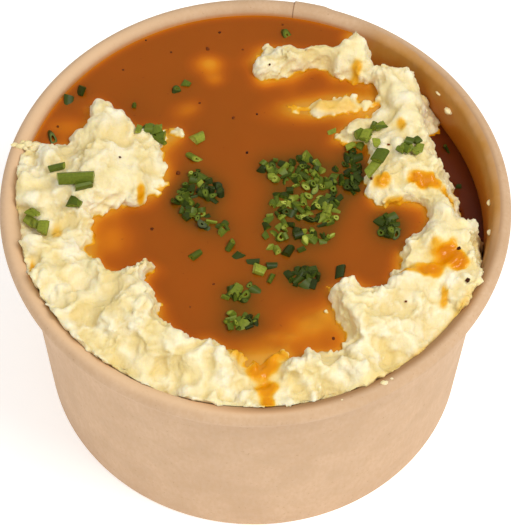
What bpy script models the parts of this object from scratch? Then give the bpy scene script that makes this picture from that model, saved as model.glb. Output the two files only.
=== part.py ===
"""A round kraft paper tub of mashed potato with brown gravy and chopped chives.

Lengths are millimetres in the tables below and metres in the scene.
The tub stands on z = 0, its axis is z, and -y is the side nearest the viewer.
"""

import math
import random

import bmesh
import bpy
import numpy as np
from mathutils import Matrix, Vector, noise

MM = 0.001

# Tub
RIM_TOP = 64.0
RIM_RADIUS = 57.5
CURL_WIDTH = 4.2
CURL_HEIGHT = 4.3
BASE_RADIUS = 49.5
NECK_RADIUS = 53.25
PAPER = 0.6
FOOT_PAPER = 1.2
BASE_RECESS = 5.8
BASE_TOP = 6.6
SEAM_ANGLE = 81.0
SEAM_WIDTH = 9.0
SEAM_STEP = 0.4
SIDES = 72
CURL_POINTS = 10

# Fill
GAP = 0.3
GRAVY_LEVEL = 61.9
POOL_DEPTH = 9.0
GRID_STEP = 1.1
MASH_TRIANGLES = 7400
MOULD_TRIANGLES = 2000
MOULD_REACH = 0.9
SMALLEST_BODY = 60.0

# The deep gap at the right: its gravy's level and depth, the mash's floor and slope there,
# and the line across the tub that it lies beyond (turn in degrees, distance from the axis)
SIDE_LEVEL = 51.5
SIDE_POOL_DEPTH = 5.0
SIDE_FLOOR = 16.0
SIDE_SLOPE = 3.5
SIDE_TURN = 20.0
SIDE_LINE = 38.0
DAM = 1.0

# Shore of the mash at the gravy's level, clockwise from the left wall
SHORE = {
    "left mound": [
        (-60, 13.5), (-52, 13.8), (-47.5, 14.8), (-43.5, 15.5), (-40.5, 18), (-39, 20.8),
        (-38, 23.8), (-38.6, 26), (-37, 27.2), (-35, 26.5), (-31.5, 23.9), (-29, 21.6), (-27, 21),
        (-24, 19.5), (-20, 19.8), (-17, 19.5), (-16.3, 17.3), (-18, 15), (-20.5, 13.2),
        (-21, 11.3), (-19.6, 9.4), (-19.3, 6.5), (-21, 3), (-23, 0), (-26.5, -2.3), (-29.5, -2.8),
        (-30.5, -4.6),
    ],
    "inlet": [(-35, -5.2), (-35.6, -9), (-35, -14), (-33.5, -17.2)],
    "front left crest": [
        (-31.5, -18.3), (-27.5, -18.8), (-25.5, -18), (-23.3, -17.4), (-21.6, -18.6),
        (-22.8, -21), (-22.6, -24), (-21, -25.5), (-20.6, -28.5), (-19.2, -31.2), (-16, -34.5),
        (-12.5, -36.2), (-9.5, -36.6), (-6.5, -37.8), (-3.7, -39.2),
    ],
    "front": [
        (-1.5, -40.5), (2, -40), (3.2, -38.6), (7, -38.8), (9, -40), (11.6, -38.5), (14, -39.6),
        (17.4, -38), (18.4, -35), (17, -31),
    ],
    "front right crest": [
        (15.6, -27), (15.3, -25), (16.5, -23), (19, -21.8), (22, -20.6), (23.9, -23.4),
        (25.7, -22.3), (27.8, -23.5), (29.7, -20), (32.3, -18),
    ],
    "cove": [
        (31.4, -15.2), (32.5, -12.3), (34, -10), (35.6, -7.5), (36.9, -4.5), (37.3, -2),
        (35, -2), (31.5, -0.8), (29.5, -2.3), (27.5, -1.3), (25.3, 1.3), (24, 5), (24.5, 10),
        (24.3, 14.6), (20.8, 15.3),
    ],
    "lumps": [(16.5, 16.3), (17.5, 18.5), (19, 21.2), (20.5, 22), (24, 23.4), (26.3, 26)],
    "upper ridge": [
        (27.3, 30.5), (26.5, 32.3), (23, 32.8), (20, 34), (17, 34.3), (15.5, 36.2), (13, 36),
        (11, 34.3), (8.5, 33), (4, 33), (1, 32.3), (-0.5, 32.8), (-1.5, 35), (-1.8, 39),
        (-1.3, 42.5), (1, 43.4), (5, 43.5), (7.5, 43.2), (10.5, 42.3), (14, 43.2), (19.5, 43.4),
        (20.3, 46), (21.5, 55), (27, 54),
    ],
    "right edge": [
        (26.4, 45), (27.6, 41.5), (28.8, 38), (31.5, 38.2), (34, 36.4), (37, 34.6), (38.7, 33),
        (39.2, 30.5), (38.6, 27), (38.3, 24), (39.3, 20), (40.5, 15.5), (41.5, 11.8),
        (43.7, 9.2), (42.6, 6.3), (44.6, 3.2), (45, -1), (46, -4), (49.2, -4.8), (49.7, -7.3),
        (49.2, -11), (50, -13.5), (51.5, -16), (60, -17),
    ],
    "front wall": [(60, -60), (-60, -60)],
}

# Crest of the mash over the gravy's level: x, y, height
CRESTS = {
    "left mound": [
        (-37.3, 22.8, 7.2), (-32.5, 19, 6.8), (-46, 8.5, 6), (-36, 8, 8), (-27, 12.5, 5.6),
        (-18, 17, 1.2), (-37, 0.5, 7.6), (-22, 5.5, 2.8), (-27, 3.5, 4.8), (-49, -1, 5.2),
        (-33, -1, 6), (-43, 12, 4), (-50.5, 9, 3.6), (-37.5, -5, 4.6),
    ],
    "left bank": [
        (-44, -10.5, 2.6), (-39.5, -10.5, 3.4), (-48, -15, 5.8), (-51.5, -8, -1.2),
        (-42, -17.5, 4), (-46, -22.5, 4.6), (-39, -24.5, 2.4), (-43, -28.5, 3.2),
        (-39, -29, 4.4), (-37.5, -34, 2.8), (-49.6, -18.4, 0.6),
    ],
    "front left": [
        (-31, -22.5, 7.4), (-25, -21, 8), (-25, -30, 7.8), (-31, -33, 6.8), (-21, -37, 6.6),
        (-14, -40.5, 6.4), (-6, -43, 5.6), (-34, -39, 2.2), (-27, -44, 1), (-19, -48, 0),
        (-11, -49.5, 1.4), (-4, -51, 0.4),
    ],
    "run": [(0.5, -43, 0.9), (3, -49.5, 0.3)],
    "front": [
        (8.5, -43.5, 5.4), (5.5, -41, 3), (12.5, -41.5, 5.6), (10, -49.8, 0.8), (16.5, -41, 3.4),
        (22, -42, 4.2), (19, -48, 0.4),
    ],
    "front right": [
        (21.5, -24.8, 7), (26.5, -26.4, 6.6), (31, -22.6, 6.2), (25, -33.5, 6.4), (33, -31, 4.8),
        (29, -41.5, 1.4), (37, -35, 1.2), (35, -26, 5.4), (41.3, -29.5, 1.2),
    ],
    "right bank": [
        (37, -20.5, 3.8), (44, -17, 4.4), (41, -25.5, 2.8), (46.5, -22.5, 4.8), (45, -26, 3.6),
        (48.5, -15.5, 4.6), (40, -10.5, 6.2), (43.5, -6, 6), (47.5, -9.5, 4.8),
    ],
    "right mound": [
        (29, -0.2, 3.2), (35.5, 2, 4.6), (41.5, 1.5, 5), (28.5, 7, 4.4), (35, 9.5, 6.2),
        (40, 7, 5.6), (37.5, 15, 6.2), (29.5, 16.5, 5.4), (33.5, 21, 6), (36.5, 27, 6),
        (33, 32, 6.2), (27, 24.5, 3.6),
    ],
    "upper ridge": [
        (21.8, 42.3, 8.8), (26, 37, 6), (14, 38.8, 6.4), (8, 39.3, 6), (2, 37, 4.6),
        (1, 41.5, 3), (19.5, 18.8, 3.6), (24, 47, 1),
    ],
}

# Mash that shows at or just under the surface: x, y, half length, half width, turn, top
SUNK = [
    (16.5, 26.3, 9.5, 2.4, 6, 1.0), (-11.3, 38.6, 3.2, 2.4, 0, -0.3),
    (-9.7, 34.2, 2.2, 1.8, 0, -0.4), (-16, 25.5, 3.2, 2.2, 20, -0.7), (6, 26.8, 2.4, 1.8, 0, -0.4),
    (13, -32.5, 6.5, 4.5, 20, -0.4), (0.5, -39, 5, 3.5, 0, -0.5), (-32.5, -10.5, 5, 5, 10, -1.2),
    (-44, 20, 4.5, 3, 0, -1.3), (-1, -29.5, 2.2, 1.6, 0, -0.7),
]
SIDE_RISE = 1.3
UNDERWATER_SLOPE = 1.9
SUNK_CURVE = 1.6

# Ragged edge and crumbs of the mash: size, depth
EDGE_RAGS = [(4.5, 2.6), (1.9, 1.3)]
CRUMBS = [(6.5, 2.4), (3.2, 1.5)]

# Chives: length and radius of a piece, then heaps as x, y, half length, half width, pieces
CHIVE_LENGTH = (1.6, 3.2)
CHIVE_RADIUS = (1.0, 1.5)
CHIVE_SIDES = 6
CHIVE_HEAPS = [
    (-11.5, 0.5, 5.2, 6.6, 13), (11, 1, 9.5, 12.0, 28), (11, -20, 3.2, 2.4, 5),
    (21, 8, 1.6, 4.5, 5), (30, -6.5, 1.4, 3.2, 3),
]
CHIVE_SINGLES = [
    (-13.2, 17.5), (-14.1, 12), (-16.3, 32.8), (-18.6, 30.8), (-28.1, 26.3), (-40.5, 30.5),
    (-43.2, 27.7), (-13, -14.4), (19, -18.6), (6.8, 47.8), (-5.5, -12), (-3.7, -14.5),
    (-0.2, -16.3), (3.7, -17.3), (3.7, -20.5), (-1, -21.9), (-4.2, -24), (-6.5, -25.4),
    (-4.7, -29.9), (-2.3, -32.3), (3.5, -12.3), (7.3, -13.4), (15, -10.9),
]
SIDE_CHIVES = [(44.6, 22.3), (46.9, 11.9)]
SIDE_CHIVE_SIZE = 0.7
CHIVES_ON_MASH = [
    (-40, 0.7, 8.0, 1.4, 5), (-44.6, 4.8, 3.6, 1.0, 5), (-40.4, -4.4, 2.5, 1.2, 70),
    (-47, -9, 3.0, 1.1, 80), (-49.3, -7, 2.6, 1.4, 80), (-24, 17.4, 4.0, 1.6, -20),
    (-27, 16, 2.2, 1.0, 80), (27, 17, 5.5, 1.8, 30), (34, 11, 5.5, 1.7, 20),
    (28.5, 7.5, 6.0, 1.5, 50), (28.5, 13.2, 2.4, 1.2, 100),
]
SEED = 7


def material(name, colour, roughness):
    """A plain Principled material; the colour is linear RGB."""
    made = bpy.data.materials.new(name)
    made.use_nodes = True
    shader = made.node_tree.nodes["Principled BSDF"]
    shader.inputs["Base Color"].default_value = (*colour, 1.0)
    shader.inputs["Roughness"].default_value = roughness
    shader.inputs["Metallic"].default_value = 0.0
    return made


def new_object(name, mesh_source, finish=None):
    """An object from a bmesh, whose lengths go from millimetres to metres."""
    bmesh.ops.recalc_face_normals(mesh_source, faces=mesh_source.faces)
    bmesh.ops.scale(mesh_source, vec=(MM, MM, MM), verts=mesh_source.verts)
    mesh = bpy.data.meshes.new(name)
    mesh_source.to_mesh(mesh)
    mesh_source.free()
    made = bpy.data.objects.new(name, mesh)
    bpy.context.scene.collection.objects.link(made)
    if finish:
        mesh.materials.append(finish)
    return made


def settle(target):
    """Apply an object's modifiers."""
    graph = bpy.context.evaluated_depsgraph_get()
    mesh = bpy.data.meshes.new_from_object(target.evaluated_get(graph), depsgraph=graph)
    target.modifiers.clear()
    target.data = mesh


def boolean(target, operation, other):
    """Cut or intersect the target with another object, which is then removed."""
    step = target.modifiers.new(operation.lower(), "BOOLEAN")
    step.operation = operation
    step.object = other
    settle(target)
    bpy.data.objects.remove(other)


def fuse(target, pieces):
    """Join a list of objects into the target with one Boolean union."""
    group = bpy.data.collections.new("to fuse")
    bpy.context.scene.collection.children.link(group)
    for piece in pieces:
        group.objects.link(piece)
    step = target.modifiers.new("fuse", "BOOLEAN")
    step.operation = "UNION"
    step.operand_type = "COLLECTION"
    step.collection = group
    settle(target)
    for piece in pieces:
        bpy.data.objects.remove(piece)
    bpy.data.collections.remove(group)


def thin_out(target, triangles):
    """Merge the target's flatter triangles until about this many are left."""
    target.data.calc_loop_triangles()
    step = target.modifiers.new("thin out", "DECIMATE")
    step.ratio = min(1.0, triangles / len(target.data.loop_triangles))
    settle(target)


def turned(profile, angles, growth=None):
    """A closed turned solid; the profile runs as (radius, z) from axis to axis."""
    made = bmesh.new()
    rings = []
    for index, (radius, z) in enumerate(profile):
        if radius == 0.0:
            rings.append([made.verts.new((0.0, 0.0, z))])
            continue
        ring = []
        for angle in angles:
            grown = radius + (growth(angle, index) if growth else 0.0)
            ring.append(made.verts.new((grown * math.cos(angle), grown * math.sin(angle), z)))
        rings.append(ring)
    count = len(angles)
    for below, above in zip(rings, rings[1:]):
        for k in range(count):
            following = (k + 1) % count
            corners = [below[k % len(below)], below[following % len(below)]]
            corners += [above[following % len(above)], above[k % len(above)]]
            made.faces.new(list(dict.fromkeys(corners)))
    return made


def even_angles():
    return [2 * math.pi * k / SIDES for k in range(SIDES)]


def wall_radius(z):
    """Outer radius of the tub's wall at a height."""
    neck_height = RIM_TOP - CURL_HEIGHT
    return BASE_RADIUS + (NECK_RADIUS - BASE_RADIUS) * min(z / neck_height, 1.0)


def inner_radius(z):
    return wall_radius(z) - PAPER


def build_tub(finish):
    """The wall, its rolled rim, the recessed base and the overlapped side seam."""
    curl_radius = RIM_RADIUS - CURL_WIDTH / 2
    curl_z = RIM_TOP - CURL_HEIGHT / 2
    neck_z = RIM_TOP - CURL_HEIGHT + 0.2
    inside = [(0.0, BASE_TOP), (inner_radius(BASE_TOP), BASE_TOP)]
    inside.append((inner_radius(neck_z), neck_z))
    curl = []
    for k in range(CURL_POINTS + 1):
        turn = math.radians(180 - 285 * k / CURL_POINTS)
        offset = (CURL_WIDTH / 2 * math.cos(turn), CURL_HEIGHT / 2 * math.sin(turn))
        curl.append((curl_radius + offset[0], curl_z + offset[1]))
    outside = [(wall_radius(neck_z) + 0.05, neck_z), (wall_radius(0.0), 0.0)]
    foot = [(BASE_RADIUS - FOOT_PAPER, 0.0), (BASE_RADIUS - FOOT_PAPER + 0.3, BASE_RECESS)]
    profile = inside + curl + outside + foot + [(0.0, BASE_RECESS)]
    first_outer = len(inside) + CURL_POINTS // 4
    last_outer = len(inside) + len(curl) + len(outside)

    seam = math.radians(SEAM_ANGLE)
    width = SEAM_WIDTH / RIM_RADIUS
    edge = 0.2 / RIM_RADIUS
    stations = [seam - width, seam - width + 6 * edge, seam - edge, seam + edge]
    clear = math.radians(1.0)
    angles = [a for a in even_angles() if all(abs(a - s) > clear for s in stations)]
    angles = sorted(angles + stations)

    def seam_growth(angle, index):
        """The second layer of paper beside the seam, on the outside only."""
        on_outside = first_outer <= index < last_outer
        return SEAM_STEP if on_outside and seam - width < angle < seam else 0.0

    return new_object("bowl", turned(profile, angles, seam_growth), finish)


def plug(low, high):
    """What fits the tub's inside between two heights, with the gap left all round."""
    steps = [low, high]
    sides = [(inner_radius(z) - GAP, z) for z in steps]
    made = turned([(0.0, low)] + sides + [(0.0, high)], even_angles())
    return new_object("plug", made)


def spot_noise(x, y, z, size):
    """Positive on a crumb's middle and negative between crumbs."""
    spots = zip((x / size).flat, (y / size).flat, (z / size).flat)
    near = [0.45 - noise.voronoi(Vector(spot))[0][0] for spot in spots]
    return np.array(near).reshape(x.shape)


def shore_distance(x, y):
    """Distance from the shore, positive on the mash's side."""
    corners = [point for stretch in SHORE.values() for point in stretch]
    nearest = np.full(x.shape, np.inf)
    inside = np.zeros(x.shape, bool)
    for (ax, ay), (bx, by) in zip(corners, corners[1:] + corners[:1]):
        run = (bx - ax, by - ay)
        along = ((x - ax) * run[0] + (y - ay) * run[1]) / (run[0] ** 2 + run[1] ** 2)
        along = np.clip(along, 0, 1)
        nearest = np.minimum(nearest, np.hypot(x - ax - along * run[0], y - ay - along * run[1]))
        if run[1]:
            crossing = (ay > y) != (by > y)
            inside ^= crossing & (x < ax + (y - ay) * run[0] / run[1])
    return np.where(inside, nearest, -nearest)


def crest_height(x, y):
    """Height of the mash away from its shore, blended between the crests."""
    weight = np.zeros(x.shape)
    height = np.zeros(x.shape)
    for crests in CRESTS.values():
        for cx, cy, top in crests:
            pull = ((x - cx) ** 2 + (y - cy) ** 2 + 1.5) ** -2.0
            weight += pull
            height += pull * top
    return height / weight


def at_side(x, y):
    """Whether a point lies beyond the line across the tub, where the deep gap is."""
    turn = math.radians(SIDE_TURN)
    return x * math.cos(turn) + y * math.sin(turn) > SIDE_LINE


def mash_height(x, y):
    """Height of the mash over the gravy's level."""
    distance = shore_distance(x, y)
    flat = np.zeros(x.shape)
    for size, depth in EDGE_RAGS:
        distance = distance + depth * spot_noise(x, y, flat, size)
    floor = np.where(at_side(x, y), -SIDE_FLOOR, -POOL_DEPTH)
    slope = np.where(at_side(x, y), SIDE_SLOPE, UNDERWATER_SLOPE)
    above = crest_height(x, y) * (1 - np.exp(-np.maximum(distance, 0) / SIDE_RISE))
    height = np.where(distance > 0, above, np.maximum(floor, distance * slope))
    for cx, cy, long, wide, turn, top in SUNK:
        c, s = math.cos(math.radians(turn)), math.sin(math.radians(turn))
        u = ((x - cx) * c + (y - cy) * s) / long
        v = ((y - cy) * c - (x - cx) * s) / wide
        height = np.maximum(height, top - SUNK_CURVE * (u * u + v * v))
    fade = np.clip((height + 2.5) / 3.5, 0.0, 1.0)
    for size, depth in CRUMBS:
        height = height + fade * depth * spot_noise(x, y, height, size)
    return np.maximum(height, floor)


def widened(heights, reach):
    """The highest neighbour within reach of each grid point."""
    steps = int(math.ceil(reach / GRID_STEP))
    padded = np.pad(heights, steps, mode="edge")
    rows, columns = heights.shape
    highest = heights.copy()
    for i in range(2 * steps + 1):
        for j in range(2 * steps + 1):
            highest = np.maximum(highest, padded[i:i + rows, j:j + columns])
    return highest


def block(name, xs, ys, heights, bottom):
    """A closed block under a grid of heights."""
    made = bmesh.new()
    rows = []
    for i, y in enumerate(ys):
        rows.append([made.verts.new((x, y, heights[i, j])) for j, x in enumerate(xs)])
    for low, high in zip(rows, rows[1:]):
        for k in range(len(xs) - 1):
            made.faces.new((low[k], low[k + 1], high[k + 1], high[k]))
    border = [edge for edge in made.edges if edge.is_boundary]
    skirt = bmesh.ops.extrude_edge_only(made, edges=border)["geom"]
    for item in skirt:
        if isinstance(item, bmesh.types.BMVert):
            item.co.z = bottom
    border = [edge for edge in made.edges if edge.is_boundary]
    bmesh.ops.edgeloop_fill(made, edges=border)
    bmesh.ops.triangulate(made, faces=made.faces)
    return new_object(name, made)


def bodies_of(mesh):
    """The loose bodies of a mesh as lists of faces, with the volume of each in mm3."""
    left = set(mesh.faces)
    found = []
    while left:
        body = [left.pop()]
        for face in body:
            for edge in face.edges:
                for other in edge.link_faces:
                    if other in left:
                        left.remove(other)
                        body.append(other)
        volume = 0.0
        for face in body:
            a, b, c = (loop.vert.co for loop in face.loops)
            volume += a.dot(b.cross(c)) / 6
        found.append((abs(volume) / MM ** 3, body))
    return sorted(found, key=lambda item: -item[0])


def split_bodies(target, names):
    """Keep the largest bodies of an object, each as its own, and drop loose scraps."""
    target.name = "whole"
    whole = bmesh.new()
    whole.from_mesh(target.data)
    bmesh.ops.triangulate(whole, faces=whole.faces)
    found = bodies_of(whole)
    kept = []
    for name, (volume, body) in zip(names, found):
        if volume < SMALLEST_BODY:
            continue
        part = bmesh.new()
        copies = {}
        for face in body:
            for vert in face.verts:
                if vert not in copies:
                    copies[vert] = part.verts.new(vert.co / MM)
            part.faces.new([copies[vert] for vert in face.verts])
        kept.append(new_object(name, part))
    whole.free()
    bpy.data.objects.remove(target)
    return kept


def chive(x, y, z, length, radius, heading, tilt):
    """One cut piece of chive, lying along its heading and tilted up a little."""
    made = bmesh.new()
    bmesh.ops.create_cone(
        made, cap_ends=True, segments=CHIVE_SIDES, radius1=radius, radius2=radius, depth=length
    )
    lie = Matrix.Rotation(heading, 4, "Z") @ Matrix.Rotation(math.pi / 2 - tilt, 4, "Y")
    bmesh.ops.transform(made, matrix=Matrix.Translation((x, y, z)) @ lie, verts=made.verts)
    return new_object("chive", made)


def drawn_chives(draw):
    """Places of the floating pieces, heap by heap, kept from lying inside one another."""
    places = [(x, y) for x, y in CHIVE_SINGLES]
    for cx, cy, long, wide, pieces in CHIVE_HEAPS:
        placed = 0
        for _ in range(400):
            u = draw.uniform(-1, 1)
            v = draw.uniform(-1, 1)
            x, y = cx + long * u, cy + wide * v
            apart = all(math.hypot(x - px, y - py) > 1.9 for px, py in places)
            if u * u + v * v < 1 and apart and placed < pieces:
                places.append((x, y))
                placed += 1
    return places


def floating_chives(places, level, size, draw):
    """Pieces half sunk in the gravy at a level."""
    made = []
    for x, y in places:
        length = size * draw.uniform(*CHIVE_LENGTH)
        radius = size * draw.uniform(*CHIVE_RADIUS)
        heading = draw.uniform(0, math.pi)
        tilt = draw.uniform(-0.3, 0.5)
        z = level + radius * draw.uniform(0.0, 0.5)
        made.append(chive(x, y, z, length, radius, heading, tilt))
    return made


def resting_chives():
    """The larger pieces that lie on the mash."""
    made = []
    for x, y, length, radius, turn in CHIVES_ON_MASH:
        here = mash_height(np.array([[float(x)]]), np.array([[float(y)]]))[0, 0]
        z = GRAVY_LEVEL + here + radius * 0.35
        made.append(chive(x, y, z, length, radius, math.radians(turn), 0.1))
    return made


def build_fill(mash_finish, gravy_finish):
    """The mash, and the gravy that fills what the mash leaves free up to its level."""
    reach = NECK_RADIUS + 1.0
    count = int(2 * reach / GRID_STEP)
    line = np.linspace(-reach, reach, count)
    x, y = np.meshgrid(line, line)
    heights = mash_height(x, y)

    mash = block("mash", line, line, heights + GRAVY_LEVEL, BASE_TOP - 3.0)
    thin_out(mash, MASH_TRIANGLES)
    boolean(mash, "INTERSECT", plug(BASE_TOP + GAP, RIM_TOP + 6.0))
    fuse(mash, resting_chives())
    mash.data.materials.clear()
    mash.data.materials.append(mash_finish)

    mould_heights = widened(heights, MOULD_REACH) + GAP
    beyond = at_side(x, y)

    def pool(name, level, depth, closed, pieces):
        """One pool of gravy up to its level, with its chives; the mould is closed elsewhere."""
        shut = np.where(closed, np.maximum(mould_heights, DAM), mould_heights)
        bottom = GRAVY_LEVEL - SIDE_FLOOR - 4.0
        mould = block("mould", line, line, shut + GRAVY_LEVEL, bottom)
        thin_out(mould, MOULD_TRIANGLES)
        body = plug(level - depth, level)
        boolean(body, "DIFFERENCE", mould)
        body = split_bodies(body, [name])[0]
        fuse(body, pieces)
        body = split_bodies(body, [name])[0]
        body.data.materials.append(gravy_finish)
        return body

    def clear(place):
        """Whether a floating piece here stays off the mash."""
        near = np.hypot(x - place[0], y - place[1]) < 2.6
        return heights[near].max() < -1.6

    draw = random.Random(SEED)
    places = [place for place in drawn_chives(draw) if clear(place)]
    afloat = floating_chives(places, GRAVY_LEVEL, 1.0, draw)
    beside = floating_chives(SIDE_CHIVES, SIDE_LEVEL, SIDE_CHIVE_SIZE, draw)
    main_pool = pool("gravy", GRAVY_LEVEL, POOL_DEPTH + 2.0, beyond, afloat)
    side_pool = pool("gravy_side", SIDE_LEVEL, SIDE_POOL_DEPTH, ~beyond, beside)
    return [mash, main_pool, side_pool]


def main():
    for thing in list(bpy.data.objects):
        bpy.data.objects.remove(thing)
    kraft = material("kraft paper", (0.66, 0.42, 0.24), 0.75)
    potato = material("mashed potato", (0.87, 0.74, 0.42), 0.55)
    gravy = material("gravy", (0.34, 0.10, 0.01), 0.12)
    made = [build_tub(kraft)] + build_fill(potato, gravy)
    for thing in made:
        thing.data.shade_smooth()
        thing.data.set_sharp_from_angle(angle=math.radians(40))


main()
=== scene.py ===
import math
import random

import bmesh
import bpy
import numpy as np
from mathutils import Matrix, Vector, noise


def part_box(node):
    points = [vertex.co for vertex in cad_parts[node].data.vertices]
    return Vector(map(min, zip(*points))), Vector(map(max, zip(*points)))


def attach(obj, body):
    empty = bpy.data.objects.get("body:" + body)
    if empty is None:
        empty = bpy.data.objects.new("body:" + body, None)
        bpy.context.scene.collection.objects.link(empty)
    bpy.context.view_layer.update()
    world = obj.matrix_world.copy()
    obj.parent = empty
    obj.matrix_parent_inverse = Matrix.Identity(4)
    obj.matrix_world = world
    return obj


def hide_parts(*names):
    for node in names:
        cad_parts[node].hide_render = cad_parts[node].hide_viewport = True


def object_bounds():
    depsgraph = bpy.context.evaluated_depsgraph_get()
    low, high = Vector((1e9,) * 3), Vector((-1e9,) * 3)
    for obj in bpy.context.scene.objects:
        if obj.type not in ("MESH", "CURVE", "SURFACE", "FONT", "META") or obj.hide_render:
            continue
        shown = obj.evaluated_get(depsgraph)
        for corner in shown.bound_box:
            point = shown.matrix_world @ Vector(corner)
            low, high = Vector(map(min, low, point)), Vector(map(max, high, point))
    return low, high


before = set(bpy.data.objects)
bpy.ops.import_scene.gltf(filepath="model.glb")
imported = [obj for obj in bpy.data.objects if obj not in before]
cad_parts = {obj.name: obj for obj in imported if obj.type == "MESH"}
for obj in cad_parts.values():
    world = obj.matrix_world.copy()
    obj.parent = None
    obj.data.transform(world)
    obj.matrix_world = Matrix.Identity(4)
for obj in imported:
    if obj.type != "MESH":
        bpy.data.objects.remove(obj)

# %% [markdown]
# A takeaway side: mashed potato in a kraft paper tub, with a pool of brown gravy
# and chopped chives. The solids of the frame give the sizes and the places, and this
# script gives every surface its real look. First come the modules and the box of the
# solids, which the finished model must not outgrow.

MM = 0.001
solid_box = [list(corner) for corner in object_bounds()]
tub_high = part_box("bowl")[1] / MM
print("solids, mm:", [[round(v / MM, 1) for v in corner] for corner in solid_box])

# %% [markdown]
# The tub is a stock paper cup shape: a cone of board whose top edge is rolled outwards
# and whose bottom edge is folded round a recessed disc. Its few measures drive the rest.
# The gravy is a liquid, so one number gives the surface of each pool: a broad one close
# under the rim, and a small one deep in the gap between the mash and the wall at the
# right. The mash holds the two apart, so they can stand at different levels. A small
# function, used all through the script, says how far a value has gone between two others.

# %% Measures, in millimetres
RIM_TOP = tub_high.z
RIM_RADIUS = 57.5
CURL_WIDTH = 4.2
CURL_HEIGHT = 4.3
BASE_RADIUS = 49.5
NECK_RADIUS = 53.25
PAPER = 0.6
FOOT_PAPER = 1.2
BASE_RECESS = 5.8
BASE_TOP = 6.6
SEAM_ANGLE = 81.0
SEAM_WIDTH = 9.0
SEAM_STEP = 0.4
GRAVY_LEVEL = 61.9
POOL_DEPTH = 9.0
SIDE_LEVEL = 51.5
SIDE_FLOOR = 16.0
SIDE_SLOPE = 3.5
SIDE_TURN = math.radians(20.0)
SIDE_LINE = 38.0
NECK_Z = RIM_TOP - CURL_HEIGHT + 0.2
CURL_Z = RIM_TOP - CURL_HEIGHT / 2
CURL_RADIUS = RIM_RADIUS - CURL_WIDTH / 2


def part_way(value, low, high):
    """How far a value has gone from one number to another, from 0 to 1."""
    return np.clip((value - low) / (high - low), 0, 1)


def wall_radius(z):
    """Outer radius of the tub's wall at a height."""
    neck_height = RIM_TOP - CURL_HEIGHT
    return BASE_RADIUS + (NECK_RADIUS - BASE_RADIUS) * np.minimum(z / neck_height, 1.0)


def inner_radius(z):
    return wall_radius(z) - PAPER


def free_radius(z):
    """Radius of the space inside the tub, which widens over the rolled rim."""
    narrow = CURL_RADIUS - CURL_WIDTH / 2
    below = inner_radius(z) + (narrow - inner_radius(NECK_Z)) * part_way(z, NECK_Z, CURL_Z)
    rise = np.clip((z - CURL_Z) / (CURL_HEIGHT / 2), 0, 1)
    above = CURL_RADIUS - CURL_WIDTH / 2 * np.sqrt(1 - rise ** 2)
    return np.where(z < CURL_Z, below, above)


def at_side(x, y):
    """Whether a point lies beyond the line across the tub, where the deep gap is."""
    return x * math.cos(SIDE_TURN) + y * math.sin(SIDE_TURN) > SIDE_LINE


print("gravy lies", round(RIM_TOP - GRAVY_LEVEL, 1), "mm under the rim's top,")
print("and", round(RIM_TOP - SIDE_LEVEL, 1), "mm under it in the gap")

# %% [markdown]
# Colours are picked as they look on a screen, in sRGB, but light adds up in linear
# values, so one function converts them. The other small functions add shader nodes
# together with their settings and their links, which keeps each material short.

# %% Colours and shader nodes
def colour(code):
    """Linear RGBA from an sRGB hex code."""
    parts = [int(code[i:i + 2], 16) / 255 for i in (1, 3, 5)]
    linear = [p / 12.92 if p <= 0.04045 else ((p + 0.055) / 1.055) ** 2.4 for p in parts]
    return (*linear, 1.0)


def node(tree, kind, sockets=None, **settings):
    """Add a node; each socket gets a value, or a link from another node's output."""
    made = tree.nodes.new(kind)
    for name, value in settings.items():
        setattr(made, name, value)
    for name, value in (sockets or {}).items():
        if isinstance(value, bpy.types.NodeSocket):
            tree.links.new(value, made.inputs[name])
        else:
            made.inputs[name].default_value = value
    return made


def new_material(name):
    """A new material, its node tree, and the place of each point on the object."""
    made = bpy.data.materials.new(name)
    made.use_nodes = True
    made.node_tree.nodes.clear()
    return made, made.node_tree, node(made.node_tree, "ShaderNodeTexCoord").outputs["Object"]


def surface(tree, sockets):
    """Give the material its surface."""
    shader = node(tree, "ShaderNodeBsdfPrincipled", sockets)
    node(tree, "ShaderNodeOutputMaterial", {"Surface": shader.outputs["BSDF"]})


def ramp(tree, value, stops):
    """A colour ramp from (position, sRGB code) pairs."""
    made = node(tree, "ShaderNodeValToRGB", {"Fac": value})
    points = made.color_ramp.elements
    while len(points) < len(stops):
        points.new(0.5)
    for point, (position, code) in zip(points, stops):
        point.position = position
        point.color = colour(code)
    return made.outputs["Color"]


def mottle(tree, place, size_mm, detail=3.0):
    """Soft noise whose blotches are about size_mm across."""
    sockets = {"Vector": place, "Scale": 1 / (size_mm * MM), "Detail": detail, "Roughness": 0.55}
    return node(tree, "ShaderNodeTexNoise", sockets).outputs["Fac"]


def mixed(tree, factor, first, second, blend="MIX"):
    """Mix two colours; each may be a code or an output."""
    pair = [colour(c) if isinstance(c, str) else c for c in (first, second)]
    made = node(tree, "ShaderNodeMix", data_type="RGBA", blend_type=blend)
    for name, value in (("Factor_Float", factor), ("A_Color", pair[0]), ("B_Color", pair[1])):
        socket = next(s for s in made.inputs if s.identifier == name)
        if isinstance(value, bpy.types.NodeSocket):
            tree.links.new(value, socket)
        else:
            socket.default_value = value
    return next(s for s in made.outputs if s.identifier == "Result_Color")


def spread(tree, value, low, high, to_low=0.0, to_high=1.0):
    """Stretch a value from one range to another, clamped."""
    sockets = {
        "Value": value, "From Min": low, "From Max": high, "To Min": to_low, "To Max": to_high,
    }
    return node(tree, "ShaderNodeMapRange", sockets).outputs["Result"]


def share(tree, value, most):
    """A value from 0 to 1, scaled down so that 1 becomes the most."""
    return spread(tree, value, 0.0, 1.0, 0.0, most)


def attribute(tree, name):
    """A number that the mesh stores for each of its points."""
    return node(tree, "ShaderNodeAttribute", attribute_name=name).outputs["Fac"]


print("a mid kraft brown is", [round(v, 3) for v in colour("#cfa983")[:3]], "in linear light")

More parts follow.
